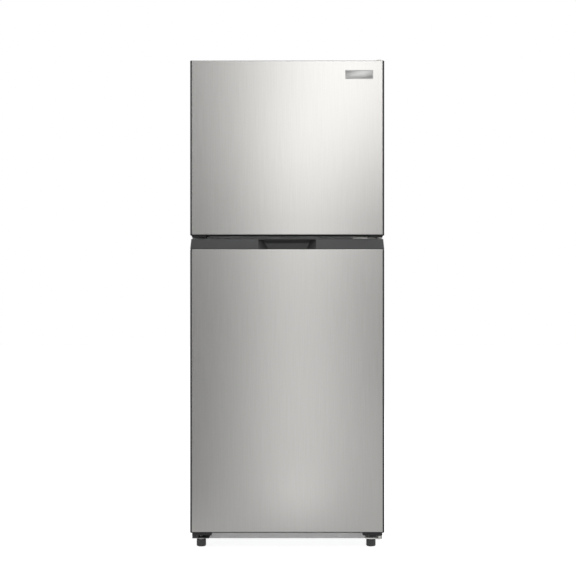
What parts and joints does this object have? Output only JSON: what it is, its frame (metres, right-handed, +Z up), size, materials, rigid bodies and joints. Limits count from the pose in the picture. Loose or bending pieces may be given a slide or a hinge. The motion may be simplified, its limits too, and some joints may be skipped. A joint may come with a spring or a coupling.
{
  "type": "top freezer refrigerator",
  "caption": "Tall household refrigerator with a freezer door above a fridge door, a scooped handle between them, shelves, drawers, door bins, levelling feet and a rear wire condenser.",
  "frame": {"origin": "on the floor, under the middle of the overall box", "axes": "+Z up, doors face -Y, +X is the hinge side"},
  "size_m": [0.605, 0.6644, 1.53],
  "materials": {
    "painted_steel": "satin",
    "galvanised_steel": "satin",
    "zinc_plate": "satin",
    "stainless": "satin",
    "dark_moulding": "matte",
    "black_steel": "satin",
    "black_moulding": "matte",
    "white_moulding": "satin",
    "insulation_foam": "matte",
    "gasket_vinyl": "matte",
    "clear_moulding": "gloss",
    "shelf_glass": "gloss",
    "chrome_badge": "satin",
    "copper": "satin",
    "evaporator_metal": "satin",
    "rubber_mount": "matte",
    "white_wire": "gloss"
  },
  "bodies": {
    "cabinet": {"cabinet_shell": "painted_steel", "back_panel": "galvanised_steel", "base_tray": "galvanised_steel", "cabinet_foam": "insulation_foam", "freezer_liner": "white_moulding", "fridge_liner": "white_moulding", "mullion_rail": "painted_steel", "base_rail": "painted_steel", "left_foot_bracket": "black_steel", "top_hinge": "zinc_plate", "top_hinge_cover": "dark_moulding", "middle_hinge": "zinc_plate", "bottom_hinge": "zinc_plate", "hinge_screws": "zinc_plate", "compressor_plate": "galvanised_steel", "roller_brackets": "galvanised_steel", "compressor": "black_steel", "compressor_grommets": "rubber_mount", "relay_cover": "black_moulding", "refrigerant_pipes": "copper", "wire_condenser": "black_steel", "condenser_mounts": "black_moulding", "drip_pan": "black_moulding", "evaporator": "evaporator_metal", "defrost_heater": "evaporator_metal", "evaporator_cover": "white_moulding", "fan_motor": "black_moulding", "control_housing": "white_moulding", "lamp_lens": "clear_moulding", "shelf_glasses": "shelf_glass", "shelf_trims": "white_moulding", "air_duct": "white_moulding", "light_switch": "white_moulding", "freezer_shelf": "white_wire"},
    "freezer_door": {"freezer_door_front": "stainless", "freezer_door_frame": "dark_moulding", "freezer_door_foam": "insulation_foam", "freezer_door_liner": "white_moulding", "freezer_door_gasket": "gasket_vinyl", "freezer_door_bins": "clear_moulding", "badge": "chrome_badge"},
    "fridge_door": {"fridge_door_front": "stainless", "fridge_door_frame": "dark_moulding", "handle_cap": "dark_moulding", "fridge_door_foam": "insulation_foam", "fridge_door_liner": "white_moulding", "fridge_door_gasket": "gasket_vinyl", "fridge_door_bins": "clear_moulding", "fridge_door_closers": "black_moulding"},
    "switch_plunger_body": {"switch_plunger": "white_moulding"},
    "temperature_dial_body": {"temperature_dial": "white_moulding"},
    "airflow_slider_body": {"freezer_slider": "white_moulding"},
    "fan_blades_body": {"fan_blades": "black_moulding"},
    "foot_left_body": {"foot_left": "dark_moulding"},
    "foot_right_body": {"foot_right": "dark_moulding"},
    "roller_left_body": {"roller_left": "black_moulding"},
    "roller_right_body": {"roller_right": "black_moulding"},
    "crisper_left_body": {"crisper_left": "clear_moulding"},
    "crisper_right_body": {"crisper_right": "clear_moulding"}
  },
  "joints": [
    {"name": "freezer_door_swing", "type": "hinge", "parent": "cabinet", "child": "freezer_door", "pos_m": [0.288, -0.30675, 1.25], "axis": [0, 0, 1], "range_deg": [0, 135]},
    {"name": "fridge_door_swing", "type": "hinge", "parent": "cabinet", "child": "fridge_door", "pos_m": [0.288, -0.30675, 0.5], "axis": [0, 0, 1], "range_deg": [0, 135]},
    {"name": "crisper_left_pull", "type": "slide", "parent": "cabinet", "child": "crisper_left_body", "axis": [0, -1, 0], "range_m": [0, 0.15]},
    {"name": "crisper_right_pull", "type": "slide", "parent": "cabinet", "child": "crisper_right_body", "axis": [0, -1, 0], "range_m": [0, 0.15]},
    {"name": "light_switch_press", "type": "slide", "parent": "cabinet", "child": "switch_plunger_body", "axis": [0, -1, 0], "range_m": [0, 0.006]},
    {"name": "temperature_turn", "type": "hinge", "parent": "cabinet", "child": "temperature_dial_body", "pos_m": [0.062, -0.16, 0.91375], "axis": [0, -1, 0], "range_deg": [0, 270]},
    {"name": "airflow_slide", "type": "slide", "parent": "cabinet", "child": "airflow_slider_body", "axis": [1, 0, 0], "range_m": [-0.027, 0.027]},
    {"name": "fan_spin", "type": "hinge", "parent": "cabinet", "child": "fan_blades_body", "pos_m": [0, 0.19, 1.34875], "axis": [0, 1, 0], "continuous": true},
    {"name": "foot_left_turn", "type": "hinge", "parent": "cabinet", "child": "foot_left_body", "pos_m": [-0.271, -0.27475, 0.01], "axis": [0, 0, 1], "continuous": true},
    {"name": "foot_right_turn", "type": "hinge", "parent": "cabinet", "child": "foot_right_body", "pos_m": [0.264, -0.27475, 0.01], "axis": [0, 0, 1], "continuous": true},
    {"name": "roller_left_spin", "type": "hinge", "parent": "cabinet", "child": "roller_left_body", "pos_m": [-0.258, 0.26325, 0.02], "axis": [1, 0, 0], "continuous": true},
    {"name": "roller_right_spin", "type": "hinge", "parent": "cabinet", "child": "roller_right_body", "pos_m": [0.258, 0.26325, 0.02], "axis": [1, 0, 0], "continuous": true}
  ],
  "couplings": [
    {"joint": "crisper_left_pull", "follows": "fridge_door_swing", "m_per_rad": 0.0636},
    {"joint": "crisper_right_pull", "follows": "fridge_door_swing", "m_per_rad": 0.0636},
    {"joint": "light_switch_press", "follows": "fridge_door_swing", "m_per_rad": 0.0025}
  ]
}
